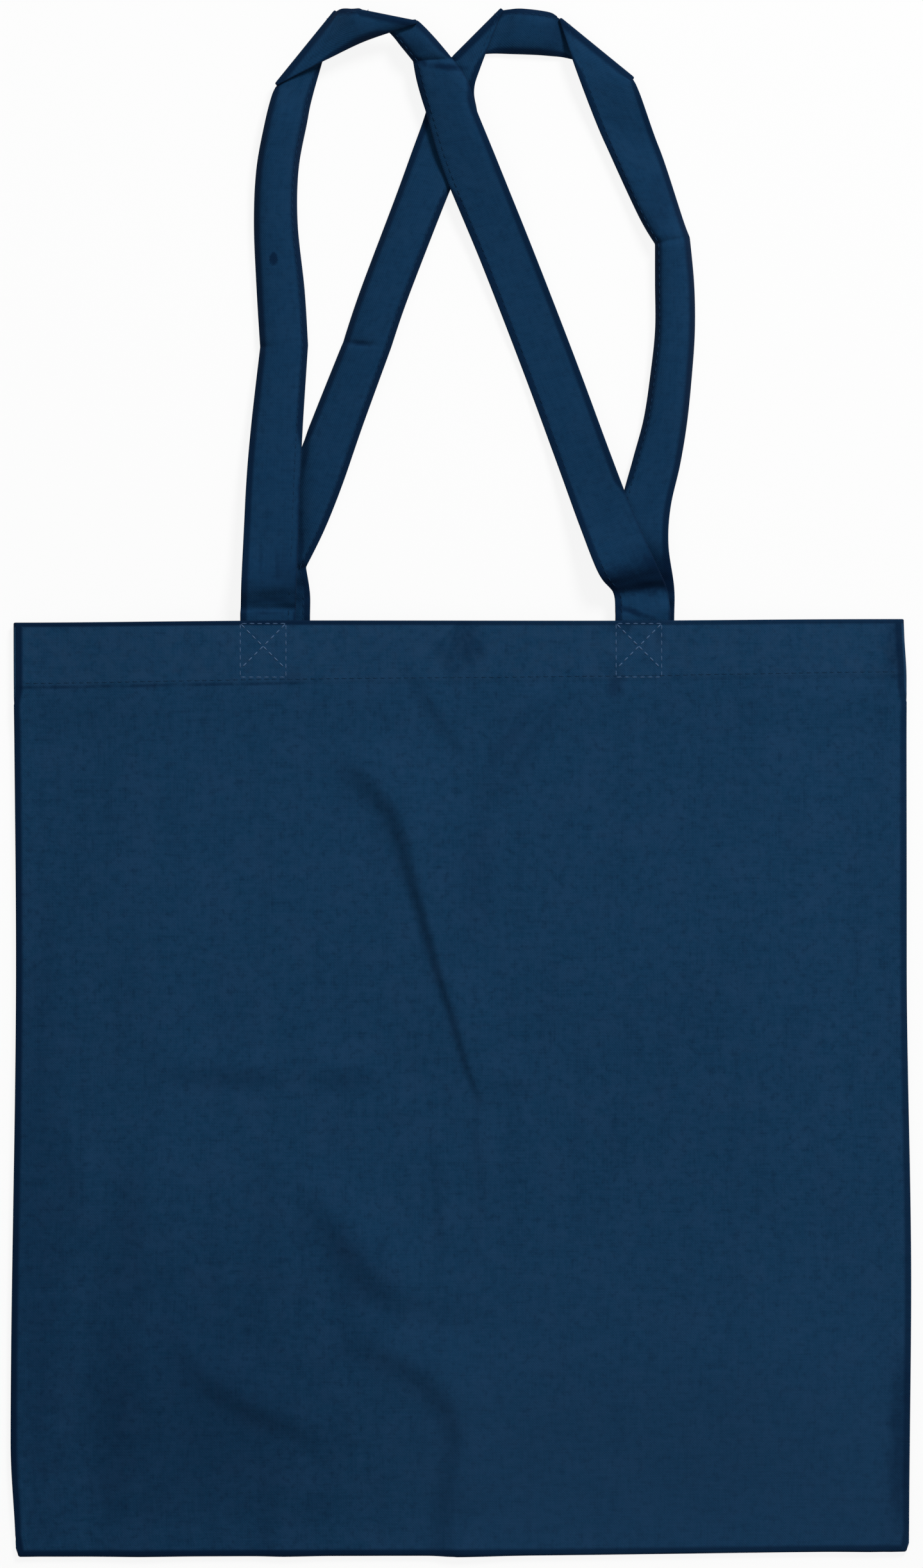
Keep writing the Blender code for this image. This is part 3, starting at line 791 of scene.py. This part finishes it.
def makeBag():
    across = clothAcross()
    along = clothAlong()
    form = bmesh.new()
    bmesh.ops.create_grid(form, x_segments=len(across) - 1, y_segments=len(along) - 1, size=0.5)
    crease = form.verts.layers.float.new("crease")
    laid = {}
    for vertex in form.verts:
        s = across[round((vertex.co.x + 0.5) * (len(across) - 1))]
        kind, at = along[round((vertex.co.y + 0.5) * (len(along) - 1))]
        point, length = clothPoint(s, kind, at)
        # the strength of the painted shade on the shaded flank of each crease
        if kind == "front":
            vertex[crease] = creaseAt(point.x, point.y)[1]
        point += edgeShift(point)
        laid[vertex] = (s * mm, length * mm)
        vertex.co = Vector((point.x, point.y + mouthY, point.z)) * mm
    writeMeasure(form, laid)
    bmesh.ops.reverse_faces(form, faces=form.faces)
    piece = finishPiece("tote_cloth", form, bagCotton(), ["bag_body"])
    thicken(piece, bag["cloth"])
    print("bag laid out:", len(across), "by", len(along), "rows of cloth")


# The handles

strap = {
    "width": 23.0,
    "thickness": 1.2,
    "spread": 158.0,
    "rise": 261.0,
    "foldRadius": 0.85,
    "widen": 0.026,            # the rounded edges draw in by this share
    "coveredEdge": 2.2,        # where an edge lies on a strap its painted shade rim is thinner by this much
    "cell": 1.6,
    "restGap": 0.12,           # how far off the floor it stays
    "sag": 0.4,
    "flutter": 0.14,
    "pucker": 1.3,
    "overEdge": 1.5,           # how far past its edge is looked for a strap under it
    "ownRows": 12,             # crossings this near don't count as another layer
    "foldRows": 14,            # and those of a fold reach this far
    "dent": 1.1,               # a kink is also pressed in
    "dentWidth": 1.6,
    "dentReach": {"kink": 1.0, "half kink": 0.55, "notch": 0.12},   # as a share of the width
    # the back strap is pressed flat beside the front one's right edge
    "pressDepth": 2.2,
    "pressX": -68.6,
    "pressWidth": 5.0,
    "columns": (0.0, 0.03, 0.09, 0.2, 0.35, 0.5, 0.65, 0.8, 0.91, 0.97, 1.0),
    "frontSeat": 8.6,
    "backSeat": 2.85,
    "sewnLength": 25.0,
    "stitchFromEdge": 2.6,
    # painted shade of the gathered bands: which end it is measured from, from where to where it is gathered,
    # and how dark
    "gathered": (("toStart", 31.0, 50.0, 0.2), ("toEnd", 38.0, 52.0, 0.8)),
    "markPlace": (-79.6, 154.5),
    "markSize": (1.8, 3.0),
    # painted shade spots, as on the bag, with y upwards from its mouth
    "paintedShadeSpots": (
        (41, 251, 8, 10, 0, 0.4), (-23, 242, 6, 10, -35, 0.35), (-73, 22, 9, 11, 0, 0.2),
        (85, 178, 9, 24, -20, 0.22), (80, 27, 10, 12, 0, 0.4), (-76, 250, 9, 5, 25, 0.25),
        (-68.2, 32, 1.7, 24, 0, 0.65), (-66, 72, 1.7, 20, -8, 0.6), (-83, 3.6, 8, 0.9, 0, 0.45),
        (-81, 9.2, 10, 1.3, 4, 0.35), (-85, 27, 1.1, 9, 0, 0.3), (-78, 24, 1.2, 8, 3, 0.3),
        (73.5, 4.0, 10, 1.7, -17, 0.8), (87.6, 18, 2.8, 6, 8, 0.9), (-43, 118.6, 6, 1.5, -5, 0.65),
        (-6.5, 236, 9.5, 1.9, -3, 0.85), (-16.6, 238.6, 4, 1.7, -32, 0.8)),
}

# The route of each handle is the crossings of its strap. Each is how far across as a share of half
# the spread, how far up as a share of the rise, which way the crossing points, how long it looks
# from above as a share of the width, the heights of its two edges and, where there are any, how far
# its middle arches over them and a fold or kink.
frontRoute = (
    (-1.036, 0.022, 0, 1.00, 7.4, 7.4),
    (-1.032, 0.060, 0, 1.00, 11.6, 11.6),
    (-1.023, 0.124, 0, 1.00, 8.5, 8.5),
    (-1.009, 0.229, 0, 0.97, 7.0, 6.0, 1.5),
    (-0.989, 0.323, 0, 0.92, 4.5, 4.0, 2.8),
    (-0.952, 0.450, 3, 0.85, 2.5, 1.5, 3.6, "notch"),
    (-0.971, 0.542, 0, 0.85, 2.0, 0.9, 3.8),
    (-0.997, 0.650, 0, 0.77, 2.5, 0.9, 4.6),
    (-0.988, 0.738, 0, 0.74, 3.5, 0.9, 4.8),
    (-0.943, 0.813, 0, 0.74, 4.5, 1.2, 4.6),
    (-0.905, 0.862, 5, 0.74, 4.0, 2.0, 2.6),
    (-0.836, 0.937, 51, 1.72, 5.0, 4.5, 0.0, "over"),
    (-0.707, 0.953, 64, 1.14, 8.0, 8.5),
    (-0.567, 0.970, 101, 0.62, 8.5, 10.0, 4.0),
    (-0.452, 0.980, 148, 0.72, 9.5, 11.5, 2.5),
    (-0.386, 0.986, 169, 1.03, 10.5, 12.5, 0.0, "under"),
    (-0.310, 0.971, -161, 0.56, 8.5, 6.5, 1.0),
    (-0.230, 0.945, -165, 0.60, 8.0, 6.0, 3.5),
    (-0.149, 0.916, -178, 0.71, 7.0, 6.0, 2.0, "kink"),
    (-0.101, 0.884, 179, 0.91, 7.6, 6.0, 2.2),
    (-0.070, 0.853, 179, 0.93, 7.4, 5.4, 2.2),
    (-0.047, 0.830, -176, 0.90, 7.4, 5.3, 2.2),
    (0.052, 0.744, -172, 1.00, 7.0, 5.3, 1.4),
    (0.257, 0.592, -169, 0.98, 3.5, 3.5),
    (0.481, 0.417, -169, 0.98, 2.5, 2.0),
    (0.664, 0.266, -169, 0.98, 7.5, 4.0),
    (0.788, 0.165, -166, 1.00, 8.5, 8.0),
    (0.896, 0.087, -169, 1.05, 12.0, 12.0),
    (0.968, 0.050, -177, 0.98, 6.4, 6.4),
)
frontEnds = ((-1.038, 0.014), (0.982, 0.014))

backRoute = (
    (-0.966, 0.086, 4, 0.89, 3.0, 3.0, 0.0, "kink"),
    (-0.876, 0.155, -8, 0.95, 2.5, 2.5, 0.8),
    (-0.779, 0.230, -10, 0.95, 1.5, 2.5, 1.6),
    (-0.662, 0.327, -8, 0.91, 0.9, 2.5, 2.4),
    (-0.504, 0.452, -7, 0.86, 0.9, 3.0, 3.2, "half kink"),
    (-0.414, 0.533, -9, 0.86, 0.9, 3.0, 3.2),
    (-0.221, 0.686, -9, 0.88, 0.9, 2.5, 2.5),
    (-0.128, 0.758, -10, 0.93, 1.5, 2.5, 1.0),
    (-0.048, 0.824, -12, 0.95, 2.5, 3.0),
    (-0.042, 0.871, -8, 0.78, 3.0, 3.6),
    (-0.020, 0.904, 3, 0.87, 3.2, 3.8),
    (0.090, 0.961, 45, 1.25, 3.0, 3.2, 0.0, "under"),
    (0.210, 0.964, 60, 0.93, 0.9, 2.5, 0.6),
    (0.310, 0.964, 77, 0.82, 0.9, 3.0, 3.2),
    (0.452, 0.961, 98, 0.80, 0.9, 3.0, 3.4),
    (0.559, 0.955, 116, 0.92, 0.9, 3.0, 1.2),
    (0.736, 0.936, 141, 1.72, 2.4, 4.0, 0.0, "over"),
    (0.797, 0.879, 163, 1.18, 4.5, 6.0),
    (0.888, 0.805, 175, 1.01, 3.0, 4.0),
    (0.957, 0.754, 176, 0.95, 1.5, 3.5, 1.8),
    (1.083, 0.658, 178, 0.77, 0.9, 3.5, 4.4),
    (1.143, 0.622, -169, 0.62, 0.9, 3.5, 5.5, "kink"),
    (1.155, 0.551, 178, 0.69, 0.9, 3.0, 5.0),
    (1.157, 0.476, 178, 0.70, 0.9, 3.0, 5.0),
    (1.136, 0.402, 176, 0.73, 0.9, 3.0, 4.8),
    (1.105, 0.328, 175, 0.77, 0.9, 2.5, 4.3),
    (1.057, 0.261, 175, 0.85, 1.8, 3.2, 3.0),
    (0.997, 0.187, 180, 0.91, 3.8, 5.6, 0.8),
    (0.983, 0.124, 180, 0.93, 5.2, 6.6),
)
backEnds = ((-0.961, 0.046), (1.004, 0.056))


def arched(share):
    return 1.0 - abs(2.0 * share - 1.0) ** 4


def offFloor(height):
    return max(height, strap["thickness"] / 2 + strap["restGap"])


def crossing(side, up, turn, reach, liftA, liftB, arch=0.0):
    middle = Vector((side * strap["spread"] / 2, mouthY + up * strap["rise"]))
    arm = Vector((math.cos(math.radians(turn)), math.sin(math.radians(turn))))
    arm *= reach * strap["width"] / 2
    return Vector((*(middle - arm), liftA)), Vector((*(middle + arm), liftB)), arch


def glide(before, start, end, after, share):
    # A point between start and end on a smooth line that also minds its neighbours.
    pull = (end - before) / 2.0
    push = (after - start) / 2.0
    square = share * share
    cube = square * share
    point = start * (2.0 * cube - 3.0 * square + 1.0) + pull * (cube - 2.0 * square + share)
    return point + end * (3.0 * square - 2.0 * cube) + push * (cube - square)


def foldLines(line, before, way):
    # A strap folded over a line: the half turn, from the incoming layer to the outgoing one.
    along = (line[1] - line[0]).to_2d().normalized()
    inward = Vector((-along.y, along.x))
    if inward.dot(((before[0] + before[1]) - (line[0] + line[1])).to_2d()) < 0.0:
        inward.negate()
    radius = strap["foldRadius"]
    turned = []
    for angle in (0, 30, 60, 90, 120, 150, 180):
        swing = math.radians(angle)
        back = inward * radius * (1.0 - math.sin(swing))
        move = Vector((back.x, back.y, -way * radius * math.cos(swing)))
        turned.append((line[0] + move, line[1] + move, 0.0))
    return turned


def smoothRun(lines):
    # Crossings close together along a run that has no fold in it.
    full = [lines[0]]
    for index in range(len(lines) - 1):
        before = lines[max(index - 1, 0)]
        start, end = lines[index], lines[index + 1]
        after = lines[min(index + 2, len(lines) - 1)]
        length = max((end[0] - start[0]).length, (end[1] - start[1]).length)
        steps = max(2, round(length / strap["cell"]))
        for step in range(1, steps + 1):
            share = step / steps
            full.append(tuple(
                glide(before[part], start[part], end[part], after[part], share) for part in (0, 1, 2)
            ))
    return full


def strapLines(route, ends, seat):
    # all the crossings of a strap, its kinks with their reach, and its folds
    sewn = -strap["sewnLength"] / strap["rise"]
    start = [crossing(ends[0][0], up, 0.0, 1.0, seat, seat) for up in (sewn, 0.0, ends[0][1])]
    finish = [crossing(ends[1][0], up, 180.0, 1.0, seat, seat) for up in (ends[1][1], 0.0, sewn)]
    lines = []
    kinks = []
    folds = []
    run = start
    for station in route:
        line = crossing(*station[:7])
        what = station[7] if len(station) > 7 else "plain"
        if what in ("over", "under"):
            turned = foldLines(line, run[-1], 1.0 if what == "over" else -1.0)
            run.append(turned[0])
            lines += smoothRun(run)
            folds.append((len(lines), line))
            lines += turned[1:-1]
            run = [turned[-1]]
            continue
        run.append(line)
        if what in strap["dentReach"]:
            lines += smoothRun(run)[:-1]
            kinks.append((len(lines), strap["dentReach"][what]))
            run = [line]
    run += finish
    return lines + smoothRun(run), kinks, folds


def pressed(point):
    up = (point.y - mouthY) / strap["rise"]
    run = ease((up - 0.09) / 0.05) * ease((0.38 - up) / 0.06)
    return strap["pressDepth"] * run * (1.0 - ease((point.x - strap["pressX"]) / strap["pressWidth"]))


def insideCrossings(spot, first, second):
    # is the spot, seen from above, within the piece of strap between two crossings?
    corners = (first[0], first[1], second[1], second[0])
    across = [corner.x for corner in corners]
    along = [corner.y for corner in corners]
    if not (min(across) < spot.x < max(across) and min(along) < spot.y < max(along)):
        return False
    turns = set()
    for corner, after in zip(corners, corners[1:] + corners[:1]):
        turn = (after.x - corner.x) * (spot.y - corner.y) - (after.y - corner.y) * (spot.x - corner.x)
        turns.add(turn > 0.0)
    return len(turns) == 1


def freeEdges(lines, others):
    # for both ends of each crossing, 1 where the strap's edge is free and 0 where it lies on a strap
    free = []
    for row, line in enumerate(lines):
        outward = (line[1] - line[0]).normalized() * strap["overEdge"]
        pair = []
        for spot in (line[0] - outward, line[1] + outward):
            own = any(
                abs(row - at) > strap["ownRows"] and insideCrossings(spot, lines[at], lines[at + 1])
                for at in range(len(lines) - 1)
            )
            other = any(insideCrossings(spot, *both) for both in zip(others, others[1:]))
            pair.append(0.0 if own or other else 1.0)
        free.append(pair)
    smooth = []
    for row in range(len(free)):
        near = free[max(row - 2, 0):row + 3]
        smooth.append([sum(pair[side] for pair in near) / len(near) for side in (0, 1)])
    return smooth


def fromFold(point, row, folds):
    # how far a point near a fold is from the folded edge, seen from above
    nearest = 100.0
    for index, line in folds:
        if abs(row - index) < strap["foldRows"]:
            along = (line[1] - line[0]).to_2d().normalized()
            step = point.to_2d() - line[0].to_2d()
            nearest = min(nearest, abs(step.x * along.y - step.y * along.x))
    return nearest


def makeHandle(name, node, path, others, paint, seed):
    lines, kinks, folds = path
    free = freeEdges(lines, others)
    columns = strap["columns"]
    form = bmesh.new()
    bmesh.ops.create_grid(form, x_segments=len(columns) - 1, y_segments=len(lines) - 1, size=0.5)
    toStart = form.verts.layers.float.new("toStart")
    toEnd = form.verts.layers.float.new("toEnd")
    toEdge = form.verts.layers.float.new("toEdge")
    laid = {}
    lengths = [0.0]
    for before, after in zip(lines, lines[1:]):
        lengths.append(lengths[-1] + ((after[0] + after[1]) - (before[0] + before[1])).length / 2.0)
    for vertex in form.verts:
        column = columns[round((vertex.co.x + 0.5) * (len(columns) - 1))]
        row = round((vertex.co.y + 0.5) * (len(lines) - 1))
        start, end, arch = lines[row]
        point = start.lerp(end, column + (column - 0.5) * strap["widen"])
        point.z += arch * arched(column)
        fromEnd = min(lengths[row], lengths[-1] - lengths[row])
        loose = ease((fromEnd - strap["sewnLength"]) / 40.0)
        belly = 1.0 - (2.0 * column - 1.0) ** 2
        point.z += loose * belly * strap["sag"] * noise.noise(Vector((lengths[row] / 34.0, seed, 0.3)))
        point.z += loose * strap["flutter"] * noise.noise(Vector((lengths[row] / 5.0, column * 3.0, seed)))
        gathered = math.exp(-((fromEnd - strap["sewnLength"] - 13.0) / 12.0) ** 2)
        pucker = noise.noise(Vector((lengths[row] / 4.5, column * 3.4, seed + 4.0)))
        point.z += gathered * strap["pucker"] * pucker
        for kink, reach in kinks:
            away = (lengths[row] - lengths[kink]) / strap["dentWidth"]
            across = 1.0 - ease((column - reach) / 0.2)
            point.z -= strap["dent"] * math.exp(-away * away) * (0.5 + 0.5 * belly) * across
        if node == "back_handle":
            point.z -= pressed(point)
        vertex[toStart] = lengths[row] * mm
        vertex[toEnd] = (lengths[-1] - lengths[row]) * mm
        wide = (end - start).to_2d().length
        left = column * wide + between(strap["coveredEdge"], 0.0, free[row][0])
        right = (1.0 - column) * wide + between(strap["coveredEdge"], 0.0, free[row][1])
        vertex[toEdge] = min(left, right, fromFold(point, row, folds)) * mm
        point.z = offFloor(point.z)
        laid[vertex] = ((column - 0.5) * strap["width"] * mm, lengths[row] * mm)
        vertex.co = point * mm
    writeMeasure(form, laid)
    piece = finishPiece(name, form, paint, [node])
    thicken(piece, strap["thickness"])
    rounder = piece.modifiers.new("soft edges", "SUBSURF")
    rounder.levels = 1
    rounder.render_levels = 1
    print(name, "strap length", round(lengths[-1]), "mm")


# Stitches

stitch = {
    "length": 2.5,
    "gap": 0.8,
    "thick": 0.42,
    "crossThick": 0.62,
    "boxSize": (19.4, 22.8),
    "boxTop": 0.9,
    "boxShift": {"front_left_box_thread": -2.0},
    "frontRightBox": 0.960,    # as a share of half the spread
    "crossFoot": 0.15,         # how far up the box its cross ends
    "pathStep": 0.8,
    "hemAbove": 1.3,           # from the hem's lower edge
    "hemInset": 4.0,           # from the side seams
    "hemSteps": 260,
}


def addStitch(form, middle, along, normal, thick):
    # One stitch: a thin grain of thread, half sunk in the cloth.
    along = along.normalized()
    side = normal.cross(along).normalized()
    up = along.cross(side)
    place = Matrix((along, side, up)).transposed().to_4x4()
    place.translation = middle * mm
    size = Matrix.Diagonal((stitch["length"] / 2 * mm, thick / 2 * mm, thick / 2 * mm, 1.0))
    bmesh.ops.create_uvsphere(form, u_segments=6, v_segments=5, radius=1.0, matrix=place @ size)


def stitchLine(form, points, normals, thick):
    # Stitches end to end along a line of points.
    pitch = stitch["length"] + stitch["gap"]
    passed = 0.0
    target = pitch / 2.0
    for index in range(len(points) - 1):
        step = points[index + 1] - points[index]
        while target <= passed + step.length:
            share = (target - passed) / step.length
            middle = points[index].lerp(points[index + 1], share)
            addStitch(form, middle, step, normals[index], thick)
            target += pitch
        passed += step.length


def strapEdge(line, column):
    # A point across the strap and one a little further on.
    spots = []
    for share in (column, column + 0.02):
        spot = line[0].lerp(line[1], share)
        spot.z = offFloor(spot.z + line[2] * arched(share))
        spots.append(spot)
    return spots


def edgeStitches(name, lines, paint):
    # The line of thread down one edge of a strap, on both its faces.
    form = bmesh.new()
    column = 1.0 - strap["stitchFromEdge"] / strap["width"]
    for way in (1.0, -1.0):
        points = []
        normals = []
        for index in range(1, len(lines) - 1):
            start, end = strapEdge(lines[index], column)
            along = (lines[index + 1][0] + lines[index + 1][1]) - (lines[index - 1][0] + lines[index - 1][1])
            normal = (end - start).cross(along).normalized() * way
            points.append(start + normal * strap["thickness"] * 0.5)
            normals.append(normal)
        stitchLine(form, points, normals, stitch["thick"])
    finishPiece(name, form, paint, [])


def onCloth(x, y, up):
    # a place on the outside of the front cloth or of the back one
    if up > 0:
        level = backHeight(y) + pocketHeight(x, y) + frontRelief(x, y) + bag["cloth"] / 2
    else:
        level = backHeight(y) - bag["cloth"] / 2
    return Vector((x, y + mouthY, level))


def boxStitches(name, node, side, up, paint):
    wide, tall = stitch["boxSize"]
    middle = side * strap["spread"] / 2 + stitch["boxShift"].get(name, 0.0)
    top = -stitch["boxTop"]
    left, right, foot = middle - wide / 2, middle + wide / 2, top - tall
    near = foot + tall * stitch["crossFoot"]
    runs = (
        ((left, top), (right, top)),
        ((right, top), (right, foot)),
        ((right, foot), (left, foot)),
        ((left, foot), (left, top)),
        ((left, top), (right, near)),
        ((right, top), (left, near)),
    )
    form = bmesh.new()
    for start, end in runs:
        points = []
        steps = round(math.dist(start, end) / stitch["pathStep"])
        for step in range(steps + 1):
            x = between(start[0], end[0], step / steps)
            y = between(start[1], end[1], step / steps)
            points.append(onCloth(x, y, up))
        crosses = start[0] != end[0] and start[1] != end[1]
        thick = stitch["crossThick"] if crosses else stitch["thick"]
        stitchLine(form, points, [Vector((0.0, 0.0, up))] * len(points), thick)
    finishPiece(name, form, paint, [node])


def hemStitches(paint):
    form = bmesh.new()
    half = bagWidth / 2 - stitch["hemInset"]
    steps = stitch["hemSteps"]
    for up in (1.0, -1.0):
        points = []
        for step in range(steps + 1):
            x = between(-half, half, step / steps)
            y = stitch["hemAbove"] - hemEdge(x)
            points.append(onCloth(x, y, up) + edgeShift(Vector((x, y, 0.0))))
        stitchLine(form, points, [Vector((0.0, 0.0, up))] * len(points), stitch["thick"])
    finishPiece("hem_thread", form, paint, ["hem_stitching"])


makeCamera()
makeStage()
print("stage set")
makeBag()
strapPaint = strapCotton()
frontPath = strapLines(frontRoute, frontEnds, strap["frontSeat"])
backPath = strapLines(backRoute, backEnds, strap["backSeat"])
makeHandle("front_strap", "front_handle", frontPath, backPath[0], strapPaint, 1.3)
makeHandle("back_strap", "back_handle", backPath, frontPath[0], strapPaint, 8.9)
brightThread = threadPaint("blue thread", cotton["thread"])
hemThread = threadPaint("navy thread", cotton["hemThread"])
strapThread = threadPaint("strap thread", cotton["strapThread"])
edgeStitches("front_strap_thread", frontPath[0], strapThread)
edgeStitches("back_strap_thread", backPath[0], strapThread)
boxStitches("front_left_box_thread", "front_left_box_stitch", frontEnds[0][0], 1.0, brightThread)
boxStitches("front_right_box_thread", "front_right_box_stitch", stitch["frontRightBox"], 1.0, brightThread)
boxStitches("back_left_box_thread", "back_left_box_stitch", backEnds[0][0], -1.0, brightThread)
boxStitches("back_right_box_thread", "back_right_box_stitch", backEnds[1][0], -1.0, brightThread)
hemStitches(hemThread)
print("stitches sewn")
